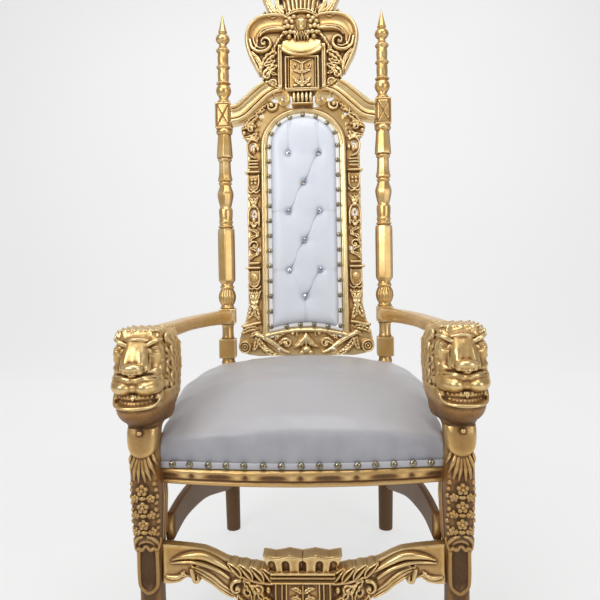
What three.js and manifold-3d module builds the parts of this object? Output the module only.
// A tall carved throne: turned posts, arched tufted back, carved crest, domed seat, lion-head arm supports.
// Millimetres, +Z up, +Y to the rear. Origin: middle of the footprint, on the floor.
// Left and right in the names are as seen from the front, so right is +X.

import * as THREE from 'three';
import { mergeVertices } from 'three/addons/utils/BufferGeometryUtils.js';
import Module from 'manifold-3d';

// ---------------------------------------------------------------- driving dimensions
const TOTAL_HEIGHT = 1800;
const TOTAL_DEPTH = 840;
const FRONT_Y = -TOTAL_DEPTH / 2; // plane of the lions' noses; depths named "in" are counted from it
const GAP = 0.3; // clearance between pieces that touch

const SEAT_LEVEL = 552; // height at which the back starts to lean
const LEAN = 0.1105; // rearward slope of the back above the seat
const LEG_SLOPE = 0.037; // rearward slope of the back legs below it
const STILE_FRONT_Y = 244.2; // front face of the back posts at seat level

const POST_SQUARE = 50; // side of the squared blocks of a back post
const POST_AXIS = 251.7; // half spacing of the posts at seat level
const POST_SPLAY = 0.0135; // outward slope of the posts
const LOW_BLOCK = [552, 612];
const ARM_BLOCK = [660, 708];
const TOP_BLOCK = [1300, 1386];

const LEG_X = 330; // middle plane of a lion and its leg
const RAIL_LOW = 370;
const RAIL_HIGH = 404;
const RAIL_THICK = 26;
const RAIL_END = 300; // half length of the front rail between the legs
const RAIL_FRONT = [62, 92]; // how far in the front rail's face lies, in its middle and at its ends

const ARCH_SPRING = 1237; // level where the back's arch starts
const ARCH_RISE = 0.89; // height of the arch over its half width
const ARCH_OUTER = 139; // half width of the plain moulding, outside
const ARCH_INNER = 118; // half width of the upholstered panel
const PANEL_LOW = 631; // bottom of the panel at its corners
const PANEL_SAG = 18; // how much higher it is in its middle
const PANEL_POINTS = 26;
const FRAME_FACE = 12; // depths of the back's layers behind the front plane of the posts
const FRAME_BACK = 34;
const MOULDING_FACE = 3;
const PAD_CROWN = -14;
const PAD_BACK = 21;

const CREST_FACE = -9;
const CREST_BACK = -FRONT_Y - STILE_FRONT_Y - LEAN * (TOTAL_HEIGHT - SEAT_LEVEL);

const STRETCHER_IN = [90, 112]; // front and back of the pierced board of the front stretcher
const SHIELD_IN = 79;

const POST_SIDES = 8;

const GOLD = 0xc79a3c;
const SEAT_LEATHER = 0xb7b2bb;
const BACK_LEATHER = 0xe6e6ee;

// ---------------------------------------------------------------- solids
const wasm = await Module();
wasm.setup();

/** Turns a closed geometry into a manifold solid, without its zero-width triangles. */
function toSolid(geometry) {
  const bare = new THREE.BufferGeometry();
  bare.setAttribute('position', geometry.attributes.position.clone());
  if (geometry.index) bare.setIndex(geometry.index.clone());
  const merged = mergeVertices(bare, 1e-3);
  const corners = merged.index.array;
  const kept = [];
  for (let i = 0; i < corners.length; i += 3) {
    const [a, b, c] = [corners[i], corners[i + 1], corners[i + 2]];
    if (a !== b && b !== c && a !== c) kept.push(a, b, c);
  }
  const vertProperties = new Float32Array(merged.attributes.position.array);
  return new wasm.Manifold(new wasm.Mesh({ numProp: 3, vertProperties, triVerts: new Uint32Array(kept) }));
}

/** Gives a solid back as a three.js geometry. */
function toGeometry(solid) {
  const mesh = solid.getMesh();
  const geometry = new THREE.BufferGeometry();
  geometry.setAttribute('position', new THREE.BufferAttribute(new Float32Array(mesh.vertProperties), 3));
  geometry.setIndex(new THREE.BufferAttribute(new Uint32Array(mesh.triVerts), 1));
  return geometry;
}

/** Joins geometries into one. */
const join = (...pieces) => toGeometry(pieces.map(toSolid).reduce((whole, piece) => whole.add(piece)));

/** Cuts other geometries out of the first. */
const cut = (body, ...tools) =>
  toGeometry(tools.map(toSolid).reduce((rest, tool) => rest.subtract(tool), toSolid(body)));

/** Turns the triangles of a geometry round where it encloses a negative volume. */
function facingOut(geometry) {
  const whole = geometry.index ? geometry.toNonIndexed() : geometry;
  const p = whole.attributes.position;
  const [a, b, c] = [new THREE.Vector3(), new THREE.Vector3(), new THREE.Vector3()];
  let volume = 0;
  for (let i = 0; i < p.count; i += 3) {
    a.fromBufferAttribute(p, i);
    b.fromBufferAttribute(p, i + 1);
    c.fromBufferAttribute(p, i + 2);
    volume += a.dot(b.cross(c));
  }
  if (volume > 0) return whole;
  for (let i = 0; i < p.count; i += 3) {
    b.fromBufferAttribute(p, i + 1);
    c.fromBufferAttribute(p, i + 2);
    p.setXYZ(i + 1, c.x, c.y, c.z);
    p.setXYZ(i + 2, b.x, b.y, b.z);
  }
  return whole;
}

/** A closed skin over rows of ring points; place(row, col) gives each point, and both ends are capped. */
function skin(rows, cols, place) {
  const geometry = new THREE.CylinderGeometry(1, 1, 1, cols, rows - 1);
  const p = geometry.attributes.position;
  const middle = (row) => {
    const sum = new THREE.Vector3();
    for (let col = 0; col < cols; col += 1) sum.add(place(row, col));
    return sum.divideScalar(cols);
  };
  for (let i = 0; i < p.count; i += 1) {
    const row = Math.round((0.5 - p.getY(i)) * (rows - 1));
    const onRim = Math.hypot(p.getX(i), p.getZ(i)) > 0.5;
    const turn = Math.atan2(p.getX(i), p.getZ(i)) / (2 * Math.PI);
    const col = (Math.round(turn * cols) + cols) % cols;
    const point = onRim ? place(row, col) : middle(row);
    p.setXYZ(i, point.x, point.y, point.z);
  }
  return facingOut(geometry);
}

/** A number raised to a power with its sign kept. */
const signedPower = (value, power) => Math.sign(value) * Math.abs(value) ** power;

/** Point of a ring whose flats lie w and d from its middle; power 2 is an ellipse and more is squarer. */
function ringPoint(col, cols, w, d, power) {
  const angle = ((col + 0.5) / cols) * 2 * Math.PI;
  const flat = Math.cos(Math.PI / cols) ** (2 / power);
  const across = (w / flat) * signedPower(Math.cos(angle), 2 / power);
  const along = (d / flat) * signedPower(Math.sin(angle), 2 / power);
  return [across, along];
}

/** An upright body from rows [z, front, back, half width, power, front width ratio], centred on x. */
function uprightBody(x, rows, cols, swell = 0) {
  return skin(rows.length, cols, (row, col) => {
    const [z, front, back, half, power, frontRatio] = rows[row];
    const depth = (back - front) / 2 + swell;
    const [u, v] = ringPoint(col, cols, half + swell, depth, power);
    const rearness = (v / depth + 1) / 2;
    const width = u * (frontRatio + (1 - frontRatio) * rearness);
    return new THREE.Vector3(x + width, FRONT_Y + (front + back) / 2 + v, z);
  });
}

/** A band swept along points of the x-z plane; section lists [in-plane, depth] and scale(t) sizes it. */
function band(path, section, scale = () => 1) {
  const last = path.length - 1;
  return skin(path.length, section.length, (row, col) => {
    const before = path[Math.max(row - 1, 0)];
    const after = path[Math.min(row + 1, last)];
    const along = new THREE.Vector2().subVectors(after, before).normalize();
    const [n, t] = section[col];
    const size = scale(row / last);
    return new THREE.Vector3(path[row].x - along.y * n * size, t, path[row].y + along.x * n * size);
  });
}

/** A flat board with the outline of a shape of the x-z plane, between two depths. */
function board(shape, front, back, curveSegments = 4) {
  const settings = { depth: back - front, bevelEnabled: false, curveSegments };
  const geometry = new THREE.ExtrudeGeometry(shape, settings);
  geometry.rotateX(Math.PI / 2);
  geometry.translate(0, back, 0);
  return geometry;
}

/** Points of the x-z plane. */
const points = (pairs) => pairs.map(([x, z]) => new THREE.Vector2(x, z));

/** A smooth run of points through a few chosen ones. */
const smooth = (pairs, steps) => new THREE.SplineCurve(points(pairs)).getPoints(steps);

/** A closed outline from the points of its right half, bottom to top. */
function symmetric(half) {
  const other = half.filter((p) => p.x > 0).reverse();
  return [...half, ...other.map((p) => new THREE.Vector2(-p.x, p.y))];
}

/** Points of a spiral, from its outer end inwards. */
function volute(x, z, outer, inner, start, turns, steps) {
  return Array.from({ length: steps + 1 }, (_, i) => {
    const angle = (start + turns * (i / steps)) * 2 * Math.PI;
    const radius = outer * (inner / outer) ** (i / steps);
    return new THREE.Vector2(x + radius * Math.cos(angle), z + radius * Math.sin(angle));
  });
}

/** A small rounded boss. */
function boss([x, y, z], [rx, ry, rz], sides = 6) {
  const geometry = new THREE.SphereGeometry(1, sides, sides / 2);
  geometry.scale(rx, ry, rz);
  geometry.translate(x, y, z);
  return geometry;
}

/** A block between two opposite corners. */
function block([x0, y0, z0], [x1, y1, z1]) {
  const geometry = new THREE.BoxGeometry(x1 - x0, y1 - y0, z1 - z0);
  geometry.translate((x0 + x1) / 2, (y0 + y1) / 2, (z0 + z1) / 2);
  return geometry;
}

/** The same geometry on the other side of the middle plane. */
function mirrored(geometry) {
  const copy = geometry.clone();
  copy.scale(-1, 1, 1);
  return facingOut(copy);
}

const both = (...pieces) => pieces.flatMap((piece) => [piece, mirrored(piece)]);

/** Section of a flat-topped carved band, from its half width, front depth and back depth. */
function ridge(half, front, back) {
  const top = half * 0.35;
  return [[-half, back], [half, back], [top, front], [-top, front]];
}

/** Section of a sharp-edged carved band. */
const arris = (half, front, back) => [[-half, back], [half, back], [0, front]];

// ---------------------------------------------------------------- the lean of the back
/** Front plane of the back posts at a height. */
const stileFront = (z) => STILE_FRONT_Y + (z - SEAT_LEVEL) * (z > SEAT_LEVEL ? LEAN : LEG_SLOPE);

/** Moves a piece whose depths are counted from the posts' front plane onto the leaning back. */
function leaning(geometry, splay = 0) {
  const placed = geometry.clone();
  const p = placed.attributes.position;
  for (let i = 0; i < p.count; i += 1) {
    const z = p.getZ(i);
    p.setXYZ(i, p.getX(i) + splay * (z - SEAT_LEVEL), p.getY(i) + stileFront(z), z);
  }
  return placed;
}

// ---------------------------------------------------------------- back posts
/** Height and radius up a back post: leg, core of the joints, bulb, shaft, collars, waists, spike. */
const POST_TURNING = [
  [0, 20], [8, 23.5], [300, 25], [530, 24], [536, 20], [712, 20], [716, 25], [724, 21], [745, 27.5],
  [766, 25], [772, 20], [778, 24.5], [784, 20], [804, 27], [960, 27.5], [970, 21], [975, 26], [984, 22],
  [992, 24.5], [1035, 22.5], [1042, 18], [1081, 26.5], [1112, 18], [1118, 23], [1125, 19], [1130, 23.5],
  [1164, 19.5], [1190, 18], [1197, 23.5], [1204, 20], [1208, 26], [1280, 21.5], [1286, 27], [1302, 27],
  [1303, 20], [1384, 20], [1388, 22.5], [1396, 22], [1404, 15], [1432, 25], [1450, 16], [1456, 23.5],
  [1464, 18], [1506, 18], [1512, 22.5], [1519, 17.5], [1561, 17.5], [1569, 22.5], [1578, 17], [1589, 12],
  [1609, 23], [1628, 12], [1634, 14.5], [1694, 1.5],
];

/** A turned body on the z axis from rows of height and radius, with a flat to the front. */
function turned(rows, swell) {
  const rim = rows.map(([z, r]) => new THREE.Vector2(r + swell, z));
  const outline = [new THREE.Vector2(0, rim[0].y), ...rim, new THREE.Vector2(0, rim[rim.length - 1].y)];
  const geometry = new THREE.LatheGeometry(outline, POST_SIDES);
  geometry.rotateX(Math.PI / 2);
  geometry.rotateZ(Math.PI / POST_SIDES);
  return facingOut(geometry);
}

/** The right back post in place, or with a swell a cutting tool a little larger than it. */
function backPost(swell = 0) {
  const half = POST_SQUARE / 2 + swell;
  const square = ([low, high]) => block([-half, -half, low], [half, half, high]);
  const upright = join(turned(POST_TURNING, swell), ...[LOW_BLOCK, ARM_BLOCK, TOP_BLOCK].map(square));
  upright.translate(POST_AXIS, POST_SQUARE / 2, 0);
  return leaning(upright, POST_SPLAY);
}

// ---------------------------------------------------------------- front legs with their lions
const LION_ROWS = [
  // height, front, back, half width, power, front width ratio
  [0, 50, 146, 32, 3, 0.9],
  [18, 44, 150, 36, 3, 0.9],
  [48, 52, 146, 33, 3, 0.9],
  [88, 74, 136, 27, 3, 0.95],
  [130, 78, 131, 26, 4, 1],
  [226, 76, 132, 28, 4, 1],
  [234, 64, 136, 31, 3.2, 1],
  [350, 50, 136, 34, 3, 1],
  [420, 46, 130, 33.5, 3, 0.97],
  [497, 50, 125, 29, 2.4, 0.9],
  [516, 40, 148, 40, 2.6, 0.82],
  [540, 24, 165, 53, 3, 0.82],
  [580, 26, 174, 60, 3, 0.72],
  [645, 28, 176, 63, 3, 0.68],
  [686, 42, 173, 58, 3, 0.78],
  [702, 64, 156, 44, 2.4, 0.9],
];
const NOSE_ROWS = [
  [618, 10, 50, 15, 2.4, 1],
  [628, 0, 52, 21, 2.4, 0.95],
  [646, 12, 56, 16, 2.6, 0.9],
  [680, 30, 68, 19, 3, 1],
];
const JAW_ROWS = [
  [545, 14, 90, 42, 2.6, 0.85],
  [552, 5, 92, 50, 2.6, 0.9],
  [560, 12, 90, 45, 2.6, 0.9],
];

/** The trunk of a lion leg: paw, ankle, knee, neck and head without its features. */
const lionTrunk = (swell = 0) => uprightBody(LEG_X, LION_ROWS, 12, swell);

/** The right front leg with its lion head, carved from one block. */
function frontLeg() {
  const at = (x, depth, z) => [LEG_X + x, FRONT_Y + depth, z];
  const paired = (x, depth, z, size) => [x, -x].map((side) => boss(at(side, depth, z), size));
  const features = [
    uprightBody(LEG_X, NOSE_ROWS, 8),
    uprightBody(LEG_X, JAW_ROWS, 8),
    ...paired(20, 26, 595, [29, 23, 21]), // muzzle pads
    ...paired(36, 44, 667, [10, 10, 8]), // eyes
    ...paired(26, 36, 683, [24, 10, 6]), // brows
    ...paired(55, 112, 616, [10, 34, 72]), // mane
  ];
  const curls = [-30, 0, 30].map((x) => boss(at(x, 54, 694), [14, 11, 9]));
  const toes = [-20, 0, 20].map((x) => boss(at(x, 50 + Math.abs(x) / 4, 14), [10.5, 17, 14]));
  const blossoms = [368, 329, 291].map((z) => boss(at(0, 57 + (368 - z) / 12, z), [15, 9, 14]));
  const lappet = boss(at(0, 54, 458), [27, 14, 25]);
  const leaves = [-1, 1].map((side) => boss(at(side * 20, 56, 412), [12, 13, 34]));
  const flute = new THREE.Shape();
  flute.moveTo(LEG_X - 18, 222);
  flute.lineTo(LEG_X - 18, 152);
  flute.absarc(LEG_X, 152, 18, Math.PI, 2 * Math.PI, false);
  flute.lineTo(LEG_X + 18, 222);
  const hollow = board(flute, FRONT_Y + 60, FRONT_Y + 84, 6);
  const whole = join(lionTrunk(), ...features, ...curls, ...toes, ...blossoms, lappet, ...leaves);
  return cut(whole, hollow);
}

// ---------------------------------------------------------------- arms
/** The right arm: a rounded bar that sweeps out from the post and runs forward into the lion's mane. */
function arm() {
  const front = stileFront(ARM_BLOCK[0]) - GAP;
  const reach = front - FRONT_Y;
  const axis = POST_AXIS + POST_SPLAY * (ARM_BLOCK[0] - SEAT_LEVEL);
  const stations = [
    // depth in, x, half width, half height, height of the middle
    [reach, axis, 24, 22, 685],
    [reach - 28, axis + 3, 24, 22, 685],
    [620, 268, 23.5, 21, 685],
    [560, 286, 23, 19.5, 685.5],
    [480, 300, 22.5, 18.5, 686],
    [380, 309, 22, 17.5, 686.5],
    [250, 313, 22, 17, 687],
    [150, 316, 22, 17, 687],
  ];
  const bar = skin(stations.length, 12, (row, col) => {
    const [depth, x, half, height, z] = stations[row];
    const [u, v] = ringPoint(col, 12, half, height, 3.2);
    return new THREE.Vector3(x + u, FRONT_Y + depth, z + v);
  });
  return cut(bar, lionTrunk(GAP), backPost(GAP));
}

// ---------------------------------------------------------------- seat
/** Depth of the seat's front edge at x. */
const frontEdge = (x) => FRONT_Y + RAIL_FRONT[0] + (RAIL_FRONT[1] - RAIL_FRONT[0]) * (x / RAIL_END) ** 2;

/** Section of a seat rail: distance out from its face, and height. */
const RAIL_SECTION = [
  [-RAIL_THICK, RAIL_LOW], [0, RAIL_LOW], [3, RAIL_LOW + 2], [3, RAIL_LOW + 6], [0, RAIL_LOW + 9],
  [5, RAIL_LOW + 15], [6, RAIL_LOW + 21], [4, RAIL_LOW + 27], [0, RAIL_HIGH], [-RAIL_THICK, RAIL_HIGH],
];

/** The front rail, bowed forward between the legs. */
function seatRailFront() {
  const steps = 10;
  const half = RAIL_END + 12;
  const rail = skin(steps + 1, RAIL_SECTION.length, (row, col) => {
    const x = -half + (2 * half * row) / steps;
    const [out, z] = RAIL_SECTION[col];
    return new THREE.Vector3(x, frontEdge(x) - out, z);
  });
  return cut(rail, lionTrunk(GAP), mirrored(lionTrunk(GAP)));
}

/** The right side rail, straight from the leg to the back post. */
function seatRailSide() {
  const ends = [[318, FRONT_Y + 119], [270, FRONT_Y + 672]];
  const rail = skin(2, RAIL_SECTION.length, (row, col) => {
    const [out, z] = RAIL_SECTION[col];
    return new THREE.Vector3(ends[row][0] + out, ends[row][1], z);
  });
  return cut(rail, lionTrunk(GAP), backPost(GAP));
}

/** The back rail between the posts. */
function seatRailBack() {
  const face = stileFront(RAIL_LOW) + 10;
  const rail = block([-POST_AXIS, face, RAIL_LOW], [POST_AXIS, face + RAIL_THICK, RAIL_HIGH]);
  return cut(rail, backPost(GAP), mirrored(backPost(GAP)));
}

/** Plan of the cushion, right half from front to back, notched round the back post. */
function seatPlan() {
  const front = [0, 110, 210, 284].map((x) => [x, frontEdge(x) - FRONT_Y]);
  const side = [[302, 80], [308, 200], [312, 350], [300, 500], [284, 600], [274, 652]];
  const notch = [[222, 655], [221, 688], [110, 690], [0, 690]];
  return symmetric(points([...front, ...side, ...notch]));
}

/** The stuffed seat: upright sides, a rolled edge and a dome. */
function seatCushion() {
  const plan = seatPlan();
  const crown = 576;
  const middle = 420; // depth of the dome's highest line
  const fall = { side: 34, front: 75, back: 22 }; // how far the dome falls to its edges
  // scale of the plan, share of the height from the underside to the dome
  const rows = [[0.985, 0], [1, 0.3], [1.003, 0.6], [1, 0.85], [0.985, 0.94], [0.91, 0.99], [0.45, 1]];
  const underside = RAIL_HIGH + GAP;
  const dome = (x, depth) => {
    const across = fall.side * (x / RAIL_END) ** 2;
    const forward = fall.front * ((middle - depth) / 340) ** 2;
    const rearward = fall.back * ((depth - middle) / 290) ** 2;
    return crown - across - (depth < middle ? forward : rearward);
  };
  const cushion = skin(rows.length, plan.length, (row, col) => {
    const [scale, share] = rows[row];
    const x = plan[col].x * scale;
    const depth = middle + (plan[col].y - middle) * scale;
    return new THREE.Vector3(x, FRONT_Y + depth, underside + (dome(x, depth) - underside) * share);
  });
  const posts = [backPost(GAP), mirrored(backPost(GAP))];
  return cut(cushion, lionTrunk(GAP), mirrored(lionTrunk(GAP)), ...posts);
}

// ---------------------------------------------------------------- stretchers
/** The pierced, carved stretcher between the front legs, with its central shield. */
function frontStretcher() {
  const [face, back] = STRETCHER_IN.map((depth) => FRONT_Y + depth);
  const top = [
    [70, 182], [89, 190.5], [104, 188], [118, 194], [149, 198], [189, 217], [211, 226], [236, 230],
    [312, 237],
  ];
  const low = [
    [312, 149], [284, 149], [266, 152], [250, 163], [241, 158], [232, 154], [217, 167], [206, 167],
    [191, 158], [176, 144], [160, 128], [144, 115], [120, 99], [96, 90], [70, 88],
  ];
  const shield = [
    [0, 46], [24, 58], [48, 80], [59, 108], [60, 156], [68, 160], [68, 180], [85, 219], [57, 215],
    [28, 219], [0, 216],
  ];
  const wing = new THREE.Shape(points([...low.reverse(), ...top.reverse()]));
  const eye = new THREE.Path();
  eye.absellipse(233, 190, 6, 4, 0, 2 * Math.PI, true);
  wing.holes.push(eye);
  const leafRun = (i) => [[142 - 24 * i, 195 - 4 * i], [124 - 24 * i, 172 - 5 * i]];
  const upperRidge = [[302, 208], [258, 212], [211, 210], [168, 190], [145, 176]];
  const lowerRidge = [[290, 196], [233, 199], [190, 186], [158, 171]];
  const ridges = [
    band(smooth(upperRidge, 5), ridge(6, face - 9, face + 4)),
    band(smooth(lowerRidge, 4), arris(4, face - 6, face + 4)),
    band(volute(232, 166, 12, 4, 0.2, -0.8, 4), arris(4, face - 7, face + 4)),
    ...[0, 1, 2].map((i) => band(points(leafRun(i)), arris(9, face - 8, face + 4))),
    band(volute(112, 125, 26, 8, 0.3, 0.9, 5), arris(6, face - 8, face + 4)),
  ];
  const plate = board(new THREE.Shape(symmetric(points(shield))), FRONT_Y + SHIELD_IN, back + 2);
  const inner = shield.slice(0, 5).map(([x, z]) => [x * 0.78, 56 + (z - 46) * 0.82]);
  const fieldOutline = new THREE.Shape(symmetric(points([...inner, [0, 146]])));
  const field = board(fieldOutline, FRONT_Y + SHIELD_IN - 5, back);
  const fillet = (z) => block([-70, FRONT_Y + SHIELD_IN - 6, z - 3], [70, back, z + 3]);
  const fillets = [163, 173].map(fillet);
  const wings = both(board(wing, face, back), ...ridges);
  const whole = join(plate, field, ...fillets, ...wings);
  return cut(whole, lionTrunk(GAP), mirrored(lionTrunk(GAP)));
}

/** The right side brace, arched from the front leg down to the back leg. */
function sideStretcher() {
  const stations = [
    // depth in, x, lower edge, upper edge
    [118, 293, 231, 290],
    [200, 288, 240, 299],
    [280, 281, 236, 301],
    [377, 273, 220, 287],
    [480, 264, 190, 256],
    [600, 255, 152, 216],
    [672, 250, 132, 192],
  ];
  const brace = skin(stations.length, 8, (row, col) => {
    const [depth, x, low, high] = stations[row];
    const [u, v] = ringPoint(col, 8, 10, (high - low) / 2, 8);
    return new THREE.Vector3(x + u, FRONT_Y + depth, (low + high) / 2 + v);
  });
  return cut(brace, lionTrunk(GAP), backPost(GAP));
}

// ---------------------------------------------------------------- back
/** Outline of the arched panel, or of a ring round it or inside it, at a half width. */
function archOutline(half) {
  const low = PANEL_LOW - (half - ARCH_INNER);
  const shape = new THREE.Shape();
  shape.moveTo(-half, low);
  shape.quadraticCurveTo(0, low + 2 * PANEL_SAG, half, low);
  shape.lineTo(half, ARCH_SPRING);
  shape.absellipse(0, ARCH_SPRING, half, half * ARCH_RISE, 0, Math.PI, false);
  shape.lineTo(-half, low);
  return shape.getSpacedPoints(PANEL_POINTS).slice(0, PANEL_POINTS);
}

/** The upholstered pad, crowned to the front. */
function backPad() {
  // depth and inset from the panel's edge
  const rows = [[PAD_BACK, 1], [-4, 1], [-10, 12], [PAD_CROWN, 40]];
  return skin(rows.length, PANEL_POINTS, (row, col) => {
    const [depth, inset] = rows[row];
    const point = archOutline(ARCH_INNER - inset)[col];
    return new THREE.Vector3(point.x, depth, point.y);
  });
}

/** The plain board behind the pad. */
const backPanel = () => board(new THREE.Shape(archOutline(ARCH_INNER - 1)), PAD_BACK + GAP, FRAME_BACK - 2);

const CURL = { x: 66, z: 1385, radius: 30, half: 8 };
const RAIL_PATH = [[250, 1337], [205, 1351], [170, 1381], [130, 1417], [96, 1437], [58, 1441]];
const RUN_HALF = 38; // half width of the run's band at the post
const RUN_TAPER = 7;
const CREST_SOFFIT = 6; // the first points of the crest's outline form its underside
const CREST_HALF = [
  [0, 1366], [33, 1366], [36, 1408], [62, 1418], [97, 1430], [125, 1447], [118, 1466], [141, 1481],
  [187, 1590], [185, 1618], [168, 1646], [128, 1668], [119, 1686], [131, 1716], [130, 1744], [112, 1762],
  [92, 1752], [80, 1778], [56, 1772], [42, 1794], [20, 1790], [0, TOTAL_HEIGHT],
];

/** Section of the top rail's band, three ridges across: share of its half width, and depth. */
function bandSection(swell) {
  const [front, back] = [2 - swell, 40 + swell];
  return [
    [-1, back], [1, back], [1, front + 3], [0.75, front], [0.6, front + 6], [0, front - 3],
    [-0.6, front + 6], [-0.75, front], [-1, front + 3],
  ];
}

/** The right S-curved run of the top rail. */
function topRun(swell = 0) {
  return band(smooth(RAIL_PATH, 8), bandSection(swell), (t) => RUN_HALF - RUN_TAPER * t + swell);
}

/** A tool that clears the room of the top rail's run and of the curl under its inner end. */
function topRailTool() {
  const disc = new THREE.Shape();
  disc.absarc(CURL.x, CURL.z, CURL.radius + CURL.half + GAP, 0, 2 * Math.PI, false);
  return join(topRun(GAP), board(disc, -60, 60));
}

/** The crest's outline as a board, or grown as a cutting tool. */
function crestBoard(front, back, grow = 0) {
  const grown = CREST_HALF.map(([x, z], i) => [x > 0 ? x + grow : x, z + (i < CREST_SOFFIT ? -grow : grow)]);
  return board(new THREE.Shape(symmetric(points(grown))), front, back);
}

/** The right half of the top rail: an S-curved band whose lower edge curls under, up to the crest. */
function topRail() {
  const spiral = volute(CURL.x, CURL.z, CURL.radius, 9, 0.1, 0.85, 8);
  const curl = band(spiral, ridge(CURL.half, -2, 30), (t) => 1 - 0.3 * t);
  return cut(join(topRun(), curl), crestBoard(-60, 60, GAP));
}

/** The cresting: scrolls round a cartouche, a small head under a plume. */
function crest() {
  const face = CREST_FACE;
  const scroll = (path, half, proud, scale) => band(path, ridge(half, face - proud, face + 8), scale);
  const vein = (path, half, proud, scale) => band(path, arris(half, face - proud, face + 8), scale);
  const taper = (t) => 1 - 0.35 * t;
  const wings = both(
    scroll(smooth([[60, 1656], [108, 1657], [158, 1640], [177, 1598], [160, 1540], [136, 1488]], 7), 9, 8),
    scroll(volute(122, 1588, 38, 11, 0.32, -1.0, 6), 8, 8, taper),
    vein(volute(106, 1476, 24, 8, 0.4, -0.9, 5), 7, 7, taper),
    vein(smooth([[80, 1540], [104, 1534], [128, 1512], [120, 1480]], 3), 7, 5, taper),
    vein(smooth([[84, 1682], [108, 1700], [120, 1736], [104, 1758]], 3), 10, 6, taper),
    vein(smooth([[58, 1690], [74, 1720], [76, 1760], [60, 1768]], 3), 9, 8, taper),
    scroll(points([[70, 1436], [70, 1566]]), 9, 12),
    boss([44, face, 1640], [16, 14, 30]),
  );
  const ribs = [-36, -18, 0, 18, 36].map((x) => vein(points([[x * 0.8, 1690], [x * 1.15, 1782]]), 8, 8));
  const cornice = scroll(smooth([[-62, 1545], [0, 1523], [62, 1545]], 4), 12, 18);
  const frame = block([-54, face - 6, 1412], [54, face + 4, 1528]);
  const field = block([-38, face - 12, 1424], [38, face, 1518]);
  const gadroons = [-36, -18, 0, 18, 36].map((x) => boss([x, face, 1392], [9.5, 12, 20]));
  const head = boss([0, face, 1638], [30, 26, 34], 8);
  const brim = scroll(smooth([[-50, 1664], [0, 1682], [50, 1664]], 4), 7, 14);
  const body = crestBoard(face, CREST_BACK);
  return join(body, ...wings, ...ribs, cornice, frame, field, ...gadroons, head, brim);
}

/** Outline of the carved surround, right half from bottom to top. */
const SURROUND_HALF = [
  [0, 556], [60, 553], [110, 556], [150, 553], [176, 562], [196, 562], [214, 566], [226.4, 570],
  [226.6, 611], [214, 622], [208, 644], [197, 672], [187, 700], [187, 832], [191, 839], [187, 846],
  [187, 1146], [191, 1152], [187, 1158], [187, 1240], [193, 1264], [210, 1280], [208, 1300], [192, 1316],
  [178, 1350], [150, 1380], [120, 1410], [98, 1420], [66, 1390], [30, 1372], [0, 1372],
];

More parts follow.
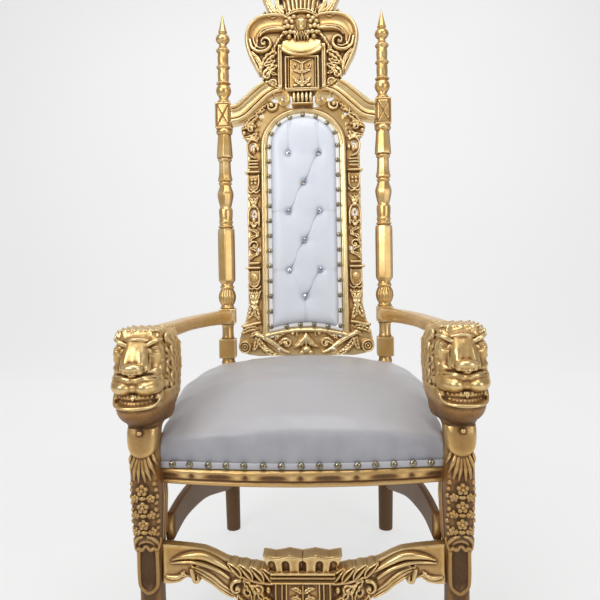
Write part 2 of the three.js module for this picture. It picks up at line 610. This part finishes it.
/** The pierced, carved surround of the panel with its arched moulding and bottom rail. */
function backFrame() {
  const face = FRAME_FACE;
  const outline = new THREE.Shape(symmetric(points(SURROUND_HALF)));
  const eyes = [[164, 1230, 8, 14], [164, 1006, 7, 22], [163, 905, 7, 12], [100, 612, 12, 8]];
  for (const [x, z, rx, rz] of eyes) {
    for (const side of [-1, 1]) {
      const eye = new THREE.Path();
      eye.absellipse(side * x, z, rx, rz, 0, 2 * Math.PI, true);
      outline.holes.push(eye);
    }
  }
  const surround = board(outline, face, FRAME_BACK);
  const moulding = board(new THREE.Shape(archOutline(ARCH_OUTER)), MOULDING_FACE, face + 2);
  const opening = board(new THREE.Shape(archOutline(ARCH_INNER)), -60, 60);
  const ribbon = (path, half, proud, scale) => band(path, arris(half, face - proud, face + 6), scale);
  const taper = (t) => 1 - 0.4 * t;
  const motifs = both(
    boss([195.7, face, 583], [17, 9, 17], 8),
    boss([164, face, 808], [15, 8, 15]),
    boss([164, face, 1118], [15, 8, 22]),
    boss([164, face, 740], [12, 8, 40]),
    boss([180, face, 1288], [16, 10, 22]),
    ribbon(points([[143, 838.6], [188, 838.6]]), 4, 8),
    ribbon(points([[143, 1152], [188, 1152]]), 4, 8),
    ribbon(smooth([[144, 672], [166, 660], [196, 656]], 2), 6, 8),
    ribbon(smooth([[152, 980], [152, 1024], [164, 1038], [177, 1024], [177, 980]], 5), 5, 7),
    ribbon(smooth([[176, 880], [152, 900], [164, 926], [178, 908]], 4), 5, 7),
    ribbon(smooth([[160, 634], [110, 606], [66, 572], [40, 566]], 4), 8, 8, taper),
    ribbon(volute(66, 590, 22, 8, 0.1, 0.8, 5), 6, 9, taper),
    ribbon(volute(118, 1360, 24, 8, 0.1, 0.7, 4), 7, 8, taper),
  );
  const shell = boss([0, face, 604], [40, 12, 34], 8);
  const whole = join(surround, moulding, ...motifs, shell);
  return cut(whole, opening, ...both(topRailTool()), crestBoard(-60, 60, GAP));
}

// ---------------------------------------------------------------- assembly
const group = new THREE.Group();

const FINISHES = {
  gilt: { color: GOLD, roughness: 0.35, metalness: 0.8 },
  seatLeather: { color: SEAT_LEATHER, roughness: 0.5, metalness: 0 },
  backLeather: { color: BACK_LEATHER, roughness: 0.45, metalness: 0 },
};

/** Adds a named piece with its own material. */
function add(name, geometry, finish) {
  const flat = geometry.index ? geometry.toNonIndexed() : geometry;
  flat.computeVertexNormals();
  const mesh = new THREE.Mesh(flat, new THREE.MeshStandardMaterial(FINISHES[finish]));
  mesh.name = name;
  group.add(mesh);
}

/** Adds a right piece and its mirror image on the left. */
function addPair(name, geometry, finish) {
  add(`${name}_right`, geometry, finish);
  add(`${name}_left`, mirrored(geometry), finish);
}

addPair('back_post', backPost(), 'gilt');
addPair('front_leg', frontLeg(), 'gilt');
addPair('arm', arm(), 'gilt');
addPair('seat_rail', seatRailSide(), 'gilt');
addPair('side_stretcher', sideStretcher(), 'gilt');
add('seat_rail_front', seatRailFront(), 'gilt');
add('seat_rail_back', seatRailBack(), 'gilt');
add('front_stretcher', frontStretcher(), 'gilt');
add('seat_cushion', seatCushion(), 'seatLeather');
add('back_frame', leaning(backFrame()), 'gilt');
add('back_pad', leaning(backPad()), 'backLeather');
add('back_panel', leaning(backPanel()), 'backLeather');
addPair('top_rail', cut(leaning(topRail()), backPost(GAP)), 'gilt');
add('crest', leaning(crest()), 'gilt');

export default group;
